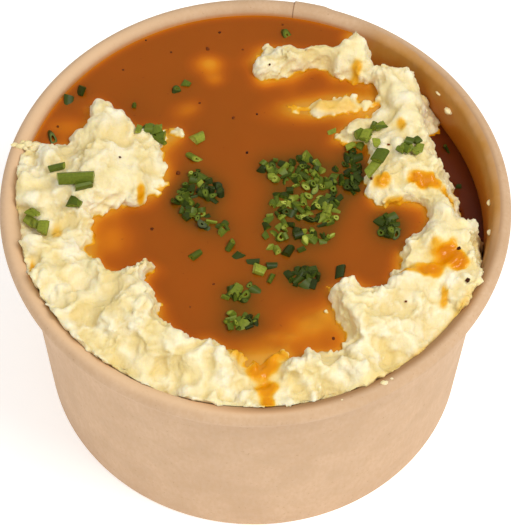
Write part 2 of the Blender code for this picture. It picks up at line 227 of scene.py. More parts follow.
# %% [markdown]
# The materials come before the meshes that wear them. Kraft board is unbleached wood
# pulp: its colour wanders over a few millimetres, and fibres under a millimetre long
# speckle it. The inside is coated to hold liquid, so it is smoother; its colour is also
# painted darker, as painted shade inside the tub. The top of the rim is painted paler at
# the left and the back, as painted light, and the inner half of the rim is darker at the
# front and the right. Gravy has coated the wall over the pool and smeared it over the
# gap. The edge of the seam shows as a dark line. Numbers on the points of the mesh say
# where all of this is.

# %% Kraft paper
def kraft_paper():
    made, tree, place = new_material("kraft paper")
    long_way = node(tree, "ShaderNodeMapping", {"Vector": place, "Scale": (1.0, 1.0, 0.45)})
    clouds = spread(tree, mottle(tree, place, 9.0), 0.35, 0.65)
    fibres = spread(tree, mottle(tree, long_way.outputs["Vector"], 0.9, 5.0), 0.38, 0.62)
    flecks = spread(tree, mottle(tree, place, 0.7, 2.0), 0.66, 0.74)
    base = mixed(tree, clouds, "#c8a582", "#d2af8c")
    base = mixed(tree, share(tree, fibres, 0.35), base, "#c39a70")
    base = mixed(tree, share(tree, flecks, 0.5), base, "#a67a50")
    inside = attribute(tree, "inside")
    # painted shade: the inside of the tub is painted darker, as shade falls inside it
    base = mixed(tree, share(tree, inside, 0.55), base, "#c58f5e")
    # painted light: the top of the rim is painted paler at the left and the back
    base = mixed(tree, attribute(tree, "painted_rim_light"), base, "#e3bd94")
    base = mixed(tree, share(tree, attribute(tree, "film"), 0.7), base, "#cc8a48")
    # the inner half of the rim is darker from the front round to the right
    base = mixed(tree, attribute(tree, "darker_inner_rim"), base, "#a27950")
    blotch = spread(tree, mottle(tree, place, 5.0), 0.3, 0.7, -0.12, 0.12)
    smear = attribute(tree, "smear")
    blotched = node(tree, "ShaderNodeMath", {0: smear, 1: blotch}, operation="ADD")
    stops = [(0.08, "#c89a68"), (0.35, "#be8638"), (0.65, "#bd761c"), (1.0, "#c0701a")]
    stained = ramp(tree, blotched.outputs["Value"], stops)
    base = mixed(tree, spread(tree, smear, 0.02, 0.25), base, stained)
    base = mixed(tree, spread(tree, attribute(tree, "edge"), 0.2, 1.0, 0.0, 0.8), base, "#7d5330")
    rough = spread(tree, inside, 0.0, 1.0, 0.72, 0.38)
    sockets = {"Height": fibres, "Strength": 0.25, "Distance": 0.05 * MM}
    bump = node(tree, "ShaderNodeBump", sockets).outputs["Normal"]
    surface(tree, {"Base Color": base, "Roughness": rough, "IOR": 1.5, "Normal": bump})
    return made


paper_finish = kraft_paper()
print("made", paper_finish.name)

# %% [markdown]
# Mashed potato is a moist, pale, slightly translucent paste. Light that enters it comes
# out about a millimetre away, which is what subsurface scattering does. Hollows look
# yellower than ridges, because light bounces about in them. Where gravy has soaked or
# coated it, it turns amber and glossy.

# %% Mashed potato
def mashed_potato():
    made, tree, place = new_material("mashed potato")
    hollow = attribute(tree, "hollow")
    soak = attribute(tree, "soak")
    clouds = spread(tree, mottle(tree, place, 7.0), 0.35, 0.65)
    grain = mottle(tree, place, 0.8, 4.0)
    base = mixed(tree, clouds, "#f5e6b4", "#f9efd2")
    base = mixed(tree, spread(tree, hollow, 0.42, 1.0, 0.0, 0.8), base, "#e4cb82")
    base = mixed(tree, spread(tree, grain, 0.5, 0.75, 0.0, 0.3), base, "#f0dca2")
    stops = [(0.0, "#ecd27c"), (0.3, "#eab838"), (0.65, "#e69a08"), (1.0, "#d68002")]
    stain = ramp(tree, soak, stops)
    base = mixed(tree, spread(tree, soak, 0.02, 0.4), base, stain)
    rough = spread(tree, soak, 0.1, 0.6, 0.5, 0.16)
    strength = spread(tree, soak, 0.2, 0.8, 0.8, 0.05)
    sockets = {"Height": grain, "Strength": strength, "Distance": 0.35 * MM}
    fine = node(tree, "ShaderNodeBump", sockets).outputs["Normal"]
    surface(tree, {
        "Base Color": base, "Roughness": rough, "IOR": 1.4, "Normal": fine,
        "Subsurface Weight": 0.3, "Subsurface Radius": (1.0, 0.8, 0.4),
        "Subsurface Scale": 1.0 * MM, "Specular IOR Level": 0.3,
    })
    return made


mash_finish = mashed_potato()
print("made", mash_finish.name)

# %% [markdown]
# Gravy is a cloudy liquid thickened with flour. Where it is deep it looks a flat brown;
# where pale mash lies just under it, light comes back through it and it glows amber.
# So the colour is a ramp over the depth at each point, down to six millimetres. Two more
# numbers on the points paint shade: olive near the chives and dark in the deep gap. Its
# skin is smooth and wet, with an index of refraction near that of water.

# %% Brown gravy
def brown_gravy():
    made, tree, place = new_material("brown gravy")
    depth = spread(tree, attribute(tree, "depth"), 0.0, 6.0)
    stops = [
        (0.0, "#e2a640"), (0.07, "#da901e"), (0.2, "#cc730e"), (0.4, "#b65d0b"),
        (0.65, "#a6520b"), (1.0, "#9c4e0b"),
    ]
    base = ramp(tree, depth, stops)
    clouds = spread(tree, mottle(tree, place, 14.0), 0.35, 0.65, 0.0, 0.4)
    base = mixed(tree, clouds, base, "#904a0a")
    # painted shade and painted green bounce light: olive brown near the chives
    base = mixed(tree, share(tree, attribute(tree, "chive_shade"), 0.75), base, "#5e4008")
    specks = spread(tree, mottle(tree, place, 1.1, 1.0), 0.76, 0.8, 0.0, 0.35)
    base = mixed(tree, specks, base, "#6b2c0c")
    # painted shade: the gravy in the deep gap is painted dark
    base = mixed(tree, attribute(tree, "gap_shade"), base, "#5e260a")
    surface(tree, {
        "Base Color": base, "Roughness": 0.18, "IOR": 1.36, "Specular IOR Level": 0.25,
        "Subsurface Weight": 0.25, "Subsurface Radius": (1.0, 0.4, 0.1),
        "Subsurface Scale": 1.5 * MM,
    })
    return made


gravy_finish = brown_gravy()
print("made", gravy_finish.name)

# %% [markdown]
# A chive is a hollow leaf. Its skin is dark green and waxy, and the cut shows the pale
# lime flesh of the wall. Each chopped piece has its own tint, stored on its points,
# from fresh green to one that gravy has darkened. Heaps that lie in shade and the
# pieces in the deep gap are given darker tints, as painted shade. Pepper is a matt red
# brown.

# %% Chives and pepper
def chopped_chive():
    made, tree, place = new_material("chopped chive")
    tint = attribute(tree, "tint")
    stops = [(0.0, "#1a1e08"), (0.35, "#343f10"), (0.7, "#58671a"), (1.0, "#90982a")]
    skin = ramp(tree, tint, stops)
    stops = [(0.0, "#343c10"), (0.35, "#687820"), (0.7, "#a0a836"), (1.0, "#ccd268")]
    flesh = ramp(tree, tint, stops)
    veins = spread(tree, mottle(tree, place, 0.5, 2.0), 0.4, 0.6, 0.0, 0.3)
    base = mixed(tree, veins, skin, "#283c0e")
    base = mixed(tree, attribute(tree, "cut"), base, flesh)
    surface(tree, {
        "Base Color": base, "Roughness": 0.4, "Specular IOR Level": 0.15,
        "Subsurface Weight": 0.15, "Subsurface Radius": (0.4, 1.0, 0.2),
        "Subsurface Scale": 0.5 * MM,
    })
    return made


def ground_pepper():
    made, tree, place = new_material("ground pepper")
    base = mixed(tree, spread(tree, mottle(tree, place, 4.0), 0.4, 0.6), "#35150a", "#7a3a10")
    surface(tree, {"Base Color": base, "Roughness": 0.6, "Specular IOR Level": 0.1})
    return made


chive_finish = chopped_chive()
pepper_finish = ground_pepper()
print("made", chive_finish.name, "and", pepper_finish.name)

# %% [markdown]
# The tub is a turned solid: one outline, swept round the axis. The rolled rim is paper
# curled outwards, so its section is an oval. The side seam is a strip where the two
# ends of the wrapped wall overlap, one sheet thicker, with a crisp step at one edge.

# %% Tub
ROUND = 288
CURL_POINTS = 28
WALL_POINTS = 14
CURL_TURN = 285
BASE_MIDDLE = 30.0
WAVE = 0.12
CRISP_WIDTH = 0.15
SOFT_WIDTH = 1.5


def placed(name, data):
    """A new object in the scene."""
    made = bpy.data.objects.new(name, data)
    bpy.context.scene.collection.objects.link(made)
    return made


def new_piece(name, points, faces, finish):
    """An object from points in millimetres."""
    mesh = bpy.data.meshes.new(name)
    mesh.from_pydata(np.asarray(points, float) * MM, [], faces)
    mesh.materials.append(finish)
    return placed(name, mesh)


def store(target, name, values):
    """Keep one number for each point of a mesh, for its material to read."""
    layer = target.data.attributes.new(name, "FLOAT", "POINT")
    layer.data.foreach_set("value", np.asarray(values, np.float32))


def points_of(target):
    """The points of a mesh in millimetres."""
    flat = np.empty(len(target.data.vertices) * 3)
    target.data.vertices.foreach_get("co", flat)
    return flat.reshape(-1, 3) / MM


def tub_outline():
    """(radius, z) from the middle of the base's top, over the rim, to its underside."""
    outline = [(0.0, BASE_TOP), (BASE_MIDDLE, BASE_TOP)]
    outline += [(inner_radius(z), z) for z in np.linspace(BASE_TOP, NECK_Z, WALL_POINTS)]
    first_outer = len(outline) + CURL_POINTS // 4
    for k in range(CURL_POINTS + 1):
        turn = math.radians(180 - CURL_TURN * k / CURL_POINTS)
        offset = (CURL_WIDTH / 2 * math.cos(turn), CURL_HEIGHT / 2 * math.sin(turn))
        outline.append((CURL_RADIUS + offset[0], CURL_Z + offset[1]))
    outline += [(wall_radius(z) + 0.02, z) for z in np.linspace(NECK_Z, 0.5, WALL_POINTS)]
    outline += [(BASE_RADIUS - 0.1, 0.12), (BASE_RADIUS - 0.5, 0.0)]
    last_outer = len(outline)
    foot_radius = BASE_RADIUS - FOOT_PAPER
    outline += [(foot_radius, 0.0), (foot_radius + 0.3, BASE_RECESS)]
    outline += [(BASE_MIDDLE, BASE_RECESS), (0.0, BASE_RECESS)]
    return outline, first_outer, last_outer


def seam_growth(angle):
    """How much the overlap thickens the wall at an angle."""
    behind = (math.radians(SEAM_ANGLE) - angle) * RIM_RADIUS
    crisp = np.clip(behind / CRISP_WIDTH + 0.5, 0, 1)
    soft = np.clip((SEAM_WIDTH - behind) / SOFT_WIDTH, 0, 1)
    return SEAM_STEP * crisp * soft


def build_tub():
    """The tub, turned round its axis, with extra points beside the step of the seam."""
    outline, first_outer, last_outer = tub_outline()
    even = np.arange(ROUND) * 2 * math.pi / ROUND
    extra = math.radians(SEAM_ANGLE) + np.array([-0.3, -0.05, 0.05, 0.3]) / RIM_RADIUS
    angles = np.unique(np.concatenate([even, extra]))
    points, faces, rings = [], [], []
    for index, (radius, z) in enumerate(outline):
        if radius == 0.0:
            rings.append([len(points)] * len(angles))
            points.append((0.0, 0.0, z))
            continue
        grown = seam_growth(angles) if first_outer <= index < last_outer else 0.0
        wave = WAVE * np.sin(3 * angles + 0.6) * (z / RIM_TOP) if index < last_outer else 0.0
        reach = radius + grown + wave
        rings.append(list(range(len(points), len(points) + len(angles))))
        points += list(zip(reach * np.cos(angles), reach * np.sin(angles), angles * 0 + z))
    count = len(angles)
    for below, above in zip(rings, rings[1:]):
        for k in range(count):
            following = (k + 1) % count
            corners = [below[k], below[following], above[following], above[k]]
            faces.append(list(dict.fromkeys(corners)))
    tub = new_piece("paper_tub", points, faces, paper_finish)
    tub.data.shade_smooth()
    tub.data.set_sharp_from_angle(angle=math.radians(35))
    return tub


tub = build_tub()
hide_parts("bowl")
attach(tub, "root")
print("tub:", len(tub.data.polygons), "faces")

# %% [markdown]
# Gravy has marked the tub where it was poured and tilted: a smear over the gap, a film
# where the pool touches the wall, and a run over the front. The inner half of the rim
# is darker from the front round to the right. Each mark is a stretch of angles, counted
# from the right hand side against the clock, with a soft start and a soft end. The
# rim's top is painted paler round the left and the back, as painted light.

# %% Marks on the tub
# angles where a mark starts, is full, begins to fade, and ends
SMEAR = (-18, -6, 56, 66)
POOL_FILM = (62, 67, 164, 169)
DARKER_RIM_ANGLES = (-102, -87, 50, 66)
# where a mark is nothing and where it is full: height over the gravy, angles from its middle
SMEAR_FADE = (14.95, 1.95)
SPILL_FADE = (18.2, 5.2)
# painted light on the rim's top: its fade, in angles from the side where it is absent
RIM_LIGHT_FADE = (80, 115)
SPILL_ANGLE = -88
SPILL_STRENGTH = 0.55
RIM_LIGHT_STRENGTH = 0.75
UNLIT_RIM_ANGLE = 15
EDGE_WIDTH = 0.1


def stretch_of(angle, start, full, fading, end):
    """1 in a stretch of angles and 0 out of it, with soft ends."""
    return part_way(angle, start, full) * part_way(angle, end, fading)


def mark_tub():
    """Store where the tub is its inside, the painted light on its rim, its darker inner rim, its
    seam's edge, and gravy.
    """
    x, y, z = points_of(tub).T
    radius, angle = np.hypot(x, y), np.degrees(np.arctan2(y, x))
    on_rim = z > NECK_Z
    outermost = np.where(on_rim, CURL_RADIUS - 0.3, wall_radius(z) - PAPER / 2)
    inner_face = (radius < outermost) & (z > BASE_TOP)
    smear = stretch_of(angle, *SMEAR) * part_way(z - SIDE_LEVEL, *SMEAR_FADE)
    film = stretch_of(angle, *POOL_FILM) * part_way(z - GRAVY_LEVEL, 1.0, 0.3)
    # darker inner half of the rim, from the front round to the right
    darker_inner_rim = stretch_of(angle, *DARKER_RIM_ANGLES) * part_way(radius - CURL_RADIUS, 0.6, -0.7)
    spill = part_way(np.abs(angle - SPILL_ANGLE), *SPILL_FADE)
    spill = spill * part_way(radius - CURL_RADIUS, 0.8, 0.0)
    # painted light on the rim's top: none near the right, full round the left and the back
    rim_light = part_way(np.abs(angle - UNLIT_RIM_ANGLE), *RIM_LIGHT_FADE) * part_way(z - CURL_Z, 0.6, 1.8)
    rim_light = rim_light * part_way(radius - CURL_RADIUS, 1.6, 0.4)
    edge = np.abs(angle - SEAM_ANGLE) < math.degrees(EDGE_WIDTH / RIM_RADIUS)
    store(tub, "inside", (radius < inner_radius(z) + 0.3) & (z > BASE_TOP - 0.1))
    store(tub, "painted_rim_light", RIM_LIGHT_STRENGTH * rim_light)
    store(tub, "darker_inner_rim", on_rim * darker_inner_rim)
    store(tub, "edge", edge & on_rim & (radius > inner_radius(NECK_Z) + 0.3))
    store(tub, "smear", inner_face * smear)
    store(tub, "film", np.maximum(inner_face * film, on_rim * SPILL_STRENGTH * spill))
    return inner_face


print("gravy can reach", int(mark_tub().sum()), "points of the tub")

# %% [markdown]
# The mash was spooned in and pushed up into a ring, so it has a shore where it meets
# the gravy and crests behind it. Both are read as places and blended: height
# grows with distance from the shore up to the nearest crests. The solid of the frame
# follows the same places.

# %% Form of the mash
SHORE = {
    "left mound": [
        (-60, 13.5), (-52, 13.8), (-47.5, 14.8), (-43.5, 15.5), (-40.5, 18), (-39, 20.8),
        (-38, 23.8), (-38.6, 26), (-37, 27.2), (-35, 26.5), (-31.5, 23.9), (-29, 21.6), (-27, 21),
        (-24, 19.5), (-20, 19.8), (-17, 19.5), (-16.3, 17.3), (-18, 15), (-20.5, 13.2),
        (-21, 11.3), (-19.6, 9.4), (-19.3, 6.5), (-21, 3), (-23, 0), (-26.5, -2.3), (-29.5, -2.8),
        (-30.5, -4.6),
    ],
    "inlet": [(-35, -5.2), (-35.6, -9), (-35, -14), (-33.5, -17.2)],
    "front left crest": [
        (-31.5, -18.3), (-27.5, -18.8), (-25.5, -18), (-23.3, -17.4), (-21.6, -18.6),
        (-22.8, -21), (-22.6, -24), (-21, -25.5), (-20.6, -28.5), (-19.2, -31.2), (-16, -34.5),
        (-12.5, -36.2), (-9.5, -36.6), (-6.5, -37.8), (-3.7, -39.2),
    ],
    "front": [
        (-1.5, -40.5), (2, -40), (3.2, -38.6), (7, -38.8), (9, -40), (11.6, -38.5), (14, -39.6),
        (17.4, -38), (18.4, -35), (17, -31),
    ],
    "front right crest": [
        (15.6, -27), (15.3, -25), (16.5, -23), (19, -21.8), (22, -20.6), (23.9, -23.4),
        (25.7, -22.3), (27.8, -23.5), (29.7, -20), (32.3, -18),
    ],
    "cove": [
        (31.4, -15.2), (32.5, -12.3), (34, -10), (35.6, -7.5), (36.9, -4.5), (37.3, -2),
        (35, -2), (31.5, -0.8), (29.5, -2.3), (27.5, -1.3), (25.3, 1.3), (24, 5), (24.5, 10),
        (24.3, 14.6), (20.8, 15.3),
    ],
    "lumps": [(16.5, 16.3), (17.5, 18.5), (19, 21.2), (20.5, 22), (24, 23.4), (26.3, 26)],
    "upper ridge": [
        (27.3, 30.5), (26.5, 32.3), (23, 32.8), (20, 34), (17, 34.3), (15.5, 36.2), (13, 36),
        (11, 34.3), (8.5, 33), (4, 33), (1, 32.3), (-0.5, 32.8), (-1.5, 35), (-1.8, 39),
        (-1.3, 42.5), (1, 43.4), (5, 43.5), (7.5, 43.2), (10.5, 42.3), (14, 43.2), (19.5, 43.4),
        (20.3, 46), (21.5, 55), (27, 54),
    ],
    "right edge": [
        (26.4, 45), (27.6, 41.5), (28.8, 38), (31.5, 38.2), (34, 36.4), (37, 34.6), (38.7, 33),
        (39.2, 30.5), (38.6, 27), (38.3, 24), (39.3, 20), (40.5, 15.5), (41.5, 11.8),
        (43.7, 9.2), (42.6, 6.3), (44.6, 3.2), (45, -1), (46, -4), (49.2, -4.8), (49.7, -7.3),
        (49.2, -11), (50, -13.5), (51.5, -16), (60, -17),
    ],
    "front wall": [(60, -60), (-60, -60)],
}
CRESTS = {
    "left mound": [
        (-37.3, 22.8, 7.2), (-32.5, 19, 6.8), (-46, 8.5, 6), (-36, 8, 8), (-27, 12.5, 5.6),
        (-18, 17, 1.2), (-37, 0.5, 7.6), (-22, 5.5, 2.8), (-27, 3.5, 4.8), (-49, -1, 5.2),
        (-33, -1, 6), (-43, 12, 4), (-50.5, 9, 3.6), (-37.5, -5, 4.6),
    ],
    "left bank": [
        (-44, -10.5, 2.6), (-39.5, -10.5, 3.4), (-48, -15, 5.8), (-51.5, -8, -1.2),
        (-42, -17.5, 4), (-46, -22.5, 4.6), (-39, -24.5, 2.4), (-43, -28.5, 3.2),
        (-39, -29, 4.4), (-37.5, -34, 2.8), (-49.6, -18.4, 0.6),
    ],
    "front left": [
        (-31, -22.5, 7.4), (-25, -21, 8), (-25, -30, 7.8), (-31, -33, 6.8), (-21, -37, 6.6),
        (-14, -40.5, 6.4), (-6, -43, 5.6), (-34, -39, 2.2), (-27, -44, 1), (-19, -48, 0),
        (-11, -49.5, 1.4), (-4, -51, 0.4),
    ],
    "run": [(0.5, -43, 0.9), (3, -49.5, 0.3)],
    "front": [
        (8.5, -43.5, 5.4), (5.5, -41, 3), (12.5, -41.5, 5.6), (10, -49.8, 0.8), (16.5, -41, 3.4),
        (22, -42, 4.2), (19, -48, 0.4),
    ],
    "front right": [
        (21.5, -24.8, 7), (26.5, -26.4, 6.6), (31, -22.6, 6.2), (25, -33.5, 6.4), (33, -31, 4.8),
        (29, -41.5, 1.4), (37, -35, 1.2), (35, -26, 5.4), (41.3, -29.5, 1.2),
    ],
    "right bank": [
        (37, -20.5, 3.8), (44, -17, 4.4), (41, -25.5, 2.8), (46.5, -22.5, 4.8), (45, -26, 3.6),
        (48.5, -15.5, 4.6), (40, -10.5, 6.2), (43.5, -6, 6), (47.5, -9.5, 4.8),
    ],
    "right mound": [
        (29, -0.2, 3.2), (35.5, 2, 4.6), (41.5, 1.5, 5), (28.5, 7, 4.4), (35, 9.5, 6.2),
        (40, 7, 5.6), (37.5, 15, 6.2), (29.5, 16.5, 5.4), (33.5, 21, 6), (36.5, 27, 6),
        (33, 32, 6.2), (27, 24.5, 3.6),
    ],
    "upper ridge": [
        (21.8, 42.3, 8.8), (26, 37, 6), (14, 38.8, 6.4), (8, 39.3, 6), (2, 37, 4.6),
        (1, 41.5, 3), (19.5, 18.8, 3.6), (24, 47, 1),
    ],
}
# Mash at or just under the gravy: x, y, half length, half width, turn, top
SUNK = [
    (18, 26.8, 9.5, 3, 8, 2), (-11.3, 38.6, 3.2, 2.4, 0, 0), (-9.7, 34.2, 2.2, 1.8, 0, -0.2),
    (-16, 25.5, 3.2, 2.2, 20, -0.7), (6, 26.8, 2.4, 1.8, 0, -0.4), (13, -32.5, 6.5, 4.5, 20, -0.4),
    (0.5, -39, 5, 3.5, 0, -0.5), (-32.5, -10.5, 5, 5, 10, -1.2), (-44, 20, 4.5, 3, 0, -1.3),
    (-1, -29.5, 2.2, 1.6, 0, -0.7), (3.8, -35.3, 2, 1.1, 5, 0.6), (8.1, -35.7, 2.4, 1, -5, 0.6),
    (11.4, -31.3, 1.8, 1.3, 30, 0.5), (12.6, -33.5, 2.2, 1, 0, 0.6),
    (15.3, -29.2, 1.8, 1.5, 0, 0.6),
]
SIDE_RISE = 1.3
UNDERWATER_SLOPE = 1.9
SUNK_CURVE = 1.6
WALL_RISE = 1.2
CREST_BLEND = 1.5
CRUMB_REACH = 0.45
# size and depth of each noise
EDGE_RAGS = [(4.5, 2.6), (1.9, 1.3)]
CRUMBS = [(6.5, 2.4), (3.2, 1.5)]


def spot_noise(x, y, z, size):
    """Positive on a crumb's middle and negative between crumbs."""
    spots = zip((x / size).flat, (y / size).flat, (z / size).flat)
    near = [CRUMB_REACH - noise.voronoi(Vector(spot))[0][0] for spot in spots]
    return np.array(near).reshape(x.shape)


def shore_distance(x, y):
    """Distance from the shore, positive on the mash's side."""
    corners = [point for stretch in SHORE.values() for point in stretch]
    nearest = np.full(x.shape, np.inf)
    inside = np.zeros(x.shape, bool)
    for (ax, ay), (bx, by) in zip(corners, corners[1:] + corners[:1]):
        run = (bx - ax, by - ay)
        along = ((x - ax) * run[0] + (y - ay) * run[1]) / (run[0] ** 2 + run[1] ** 2)
        along = np.clip(along, 0, 1)
        nearest = np.minimum(nearest, np.hypot(x - ax - along * run[0], y - ay - along * run[1]))
        if run[1]:
            crossing = (ay > y) != (by > y)
            inside ^= crossing & (x < ax + (y - ay) * run[0] / run[1])
    return np.where(inside, nearest, -nearest)


def crest_height(x, y):
    """Height of the mash away from its shore, blended between the crests."""
    weight = np.zeros(x.shape)
    height = np.zeros(x.shape)
    for crests in CRESTS.values():
        for cx, cy, top in crests:
            pull = ((x - cx) ** 2 + (y - cy) ** 2 + CREST_BLEND) ** -2.0
            weight += pull
            height += pull * top
    return height / weight


def in_oval(x, y, cx, cy, long, wide, turn):
    """Place along and across an oval, 1 at its edge."""
    c, s = math.cos(math.radians(turn)), math.sin(math.radians(turn))
    return ((x - cx) * c + (y - cy) * s) / long, ((y - cy) * c - (x - cx) * s) / wide


def mash_height(x, y):
    """Height of the mash over the gravy's level."""
    distance = shore_distance(x, y)
    flat = np.zeros(x.shape)
    for size, depth in EDGE_RAGS:
        distance = distance + depth * spot_noise(x, y, flat, size)
    floor = np.where(at_side(x, y), -SIDE_FLOOR, -POOL_DEPTH)
    slope = np.where(at_side(x, y), SIDE_SLOPE, UNDERWATER_SLOPE)
    above = crest_height(x, y) * (1 - np.exp(-np.maximum(distance, 0) / SIDE_RISE))
    height = np.where(distance > 0, above, np.maximum(floor, distance * slope))
    for *oval, top in SUNK:
        u, v = in_oval(x, y, *oval)
        height = np.maximum(height, top - SUNK_CURVE * (u * u + v * v))
    near_wall = part_way(np.hypot(x, y), 45, 50) * part_way(y, -4, -14) * (distance > 4)
    height = height + WALL_RISE * near_wall * part_way(x, 34, 24)
    fade = part_way(height, -2.5, 1.0)
    for size, depth in CRUMBS:
        height = height + fade * depth * spot_noise(x, y, height, size)
    return np.maximum(height, floor)


GRID_STEP = 0.6
GRID_REACH = NECK_RADIUS + 2.0
line = np.linspace(-GRID_REACH, GRID_REACH, int(2 * GRID_REACH / GRID_STEP))
grid_x, grid_y = np.meshgrid(line, line)
grid_height = mash_height(grid_x, grid_y)
print("mash rises", round(grid_height.max(), 1), "mm over the gravy")

# %% [markdown]
# A height map can't hold overhangs or crumbs on a steep face. So the block under the
# map is turned into an even skin of small faces by a voxel remesh. The deep part is only
# a plain plug, because it can't be seen.

# %% Skin of the mash
VOXEL = 0.52
CAP_DEPTH = 19.0
CAP_OVERLAP = 2.0
BLOCK_DEPTH = 23.0
CONE_MARGIN = 1.8
CONE_SIDES = 180
PLUG_GAP = 0.3


def block(xs, ys, heights, bottom):
    """A closed block under a grid of heights."""
    made = bmesh.new()
    rows = []
    for i, y in enumerate(ys):
        rows.append([made.verts.new((x, y, heights[i, j])) for j, x in enumerate(xs)])
    for low, high in zip(rows, rows[1:]):
        for k in range(len(xs) - 1):
            made.faces.new((low[k], low[k + 1], high[k + 1], high[k]))
    border = [edge for edge in made.edges if edge.is_boundary]
    for item in bmesh.ops.extrude_edge_only(made, edges=border)["geom"]:
        if isinstance(item, bmesh.types.BMVert):
            item.co.z = bottom
    border = [edge for edge in made.edges if edge.is_boundary]
    bmesh.ops.edgeloop_fill(made, edges=border)
    bmesh.ops.recalc_face_normals(made, faces=made.faces)
    return made


def object_of(name, source):
    """An object from a bmesh in millimetres."""
    bmesh.ops.scale(source, vec=(MM, MM, MM), verts=source.verts)
    mesh = bpy.data.meshes.new(name)
    source.to_mesh(mesh)
    source.free()
    return placed(name, mesh)


def settle(target):
    """Apply an object's modifiers."""
    graph = bpy.context.evaluated_depsgraph_get()
    mesh = bpy.data.meshes.new_from_object(target.evaluated_get(graph), depsgraph=graph)
    target.modifiers.clear()
    target.data = mesh


def cone(low, high):
    """A little more than what fits the tub between two heights, as an object."""
    source = bmesh.new()
    bmesh.ops.create_cone(
        source, cap_ends=True, segments=CONE_SIDES, depth=high - low,
        radius1=inner_radius(low) + CONE_MARGIN, radius2=inner_radius(high) + CONE_MARGIN,
    )
    bmesh.ops.translate(source, vec=(0, 0, (low + high) / 2), verts=source.verts)
    return object_of("cone", source)


def extend_down(target, cut, bottom):
    """Cut the skin open at a height and close it again with a plain plug."""
    skin = bmesh.new()
    skin.from_mesh(target.data)
    low = [face for face in skin.faces if all(v.co.z < cut * MM for v in face.verts)]
    bmesh.ops.delete(skin, geom=low, context="FACES")
    border = [edge for edge in skin.edges if edge.is_boundary]
    shrink = (inner_radius(bottom) - PLUG_GAP) / (inner_radius(cut) - PLUG_GAP)
    for item in bmesh.ops.extrude_edge_only(skin, edges=border)["geom"]:
        if isinstance(item, bmesh.types.BMVert):
            item.co = Vector((item.co.x * shrink, item.co.y * shrink, bottom * MM))
    border = [edge for edge in skin.edges if edge.is_boundary]
    bmesh.ops.edgeloop_fill(skin, edges=border)
    skin.to_mesh(target.data)
    skin.free()


def build_skin():
    source = block(line, line, grid_height + GRAVY_LEVEL, GRAVY_LEVEL - BLOCK_DEPTH)
    mash = object_of("mashed_potato", source)
    cut = mash.modifiers.new("inside the tub", "BOOLEAN")
    cut.operation = "INTERSECT"
    cut.object = cone(GRAVY_LEVEL - CAP_DEPTH, RIM_TOP + 8)
    skin = mash.modifiers.new("even skin", "REMESH")
    skin.mode = "VOXEL"
    skin.voxel_size = VOXEL * MM
    tool = cut.object
    settle(mash)
    bpy.data.objects.remove(tool)
    extend_down(mash, GRAVY_LEVEL - CAP_DEPTH + CAP_OVERLAP, BASE_TOP + PLUG_GAP)
    mash.data.materials.clear()
    mash.data.materials.append(mash_finish)
    return mash


mash = build_skin()
print("skin:", len(mash.data.polygons), "faces")

# %% [markdown]
# Each point of the skin is then pushed out or in along its own normal by noise at
# several sizes: lumps, and grains that are deepest where the mash is torn and close to
# the gravy. At the front left a spoon was drawn round the tub and left streaks. The
# points that come out too far are pulled back inside the tub and under the solids' top.

# %% Mash
LUMPS = [(6.2, 1.5), (3.2, 0.9)]
GRAINS = [(1.9, 1.15), (1.05, 0.72)]
TORN_SIZE = 9.0
WARP_SIZE = 4.0
WARP_REACH = 1.6
STREAK_SIZE = 3.4
STREAK_DEPTH = 1.2
STREAK_PATCH = 12.0
SUNK_FADE = 1.5
WALL_GAP = 0.08
TOP_GAP = 0.1


def smooth_noise(place, size):
    """Soft noise from -1 to 1 at each point."""
    return np.array([noise.noise(Vector(p)) for p in place / size])


def level_at(x, y):
    """Level of the gravy at a place."""
    return np.where(at_side(x, y), SIDE_LEVEL, GRAVY_LEVEL)


def streaks(place):
    """Relief left by a spoon, drawn out along the wall."""
    x, y, z = place.T
    along = np.column_stack([np.arctan2(y, x) * 45, np.hypot(x, y) * 0.35, z * 0.35])
    combed = part_way(-y - 0.5 * x, 14, 26)
    combed *= np.clip(0.6 + 1.5 * smooth_noise(place + 60, STREAK_PATCH), 0, 1)
    return combed * STREAK_DEPTH * (0.3 - np.abs(smooth_noise(along, STREAK_SIZE)) * 1.6)


def relief_at(place, over_level):
    """How far each point is pushed out."""
    shifts = [WARP_REACH * smooth_noise(place + k, WARP_SIZE) for k in (5, 35, 75)]
    warped = (place + np.column_stack(shifts)).T
    torn = np.clip(0.75 + 1.4 * smooth_noise(place + 20, TORN_SIZE), 0.25, 1)
    torn = np.maximum(torn, np.clip(1 - over_level / 3.0, 0, 1))
    relief = np.zeros(len(place))
    for size, depth in LUMPS:
        relief += depth * spot_noise(*warped, size)
    for size, depth in GRAINS:
        relief += torn * depth * spot_noise(*warped, size)
    return relief + streaks(place)


def roughen(target):
    """Push the mash's points along their normals, and keep them inside the tub."""
    place = points_of(target)
    normals = np.empty(len(target.data.vertices) * 3)
    target.data.vertex_normals.foreach_get("vector", normals)
    over_level = place[:, 2] - level_at(place[:, 0], place[:, 1])
    relief = relief_at(place, over_level)
    shown = np.clip((over_level + SUNK_FADE) / SUNK_FADE, 0, 1)
    place = place + normals.reshape(-1, 3) * (relief * shown)[:, None]
    place[:, 2] = np.minimum(place[:, 2], solid_box[1][2] / MM - TOP_GAP)
    most = free_radius(place[:, 2]) - WALL_GAP
    radius = np.hypot(place[:, 0], place[:, 1])
    place[:, :2] *= np.minimum(1.0, most / np.maximum(radius, 1e-6))[:, None]
    target.data.vertices.foreach_set("co", (place * MM).ravel())
    return relief


relief = roughen(mash)
mash.data.shade_smooth()
store(mash, "hollow", np.clip(0.5 - relief / 1.6, 0, 1))
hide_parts("mash")
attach(mash, "root")
print("relief of the mash:", round(relief.min(), 1), "to", round(relief.max(), 1), "mm")

# %% [markdown]
# Gravy ran over the mash in places. A thin coat takes the shape of what is under it, so
# it is a finish and not a shape of its own: each stain is an oval with a ragged edge.
# The shore is wet close to the level, and along the wall at the front right the mash is tinted
# amber.

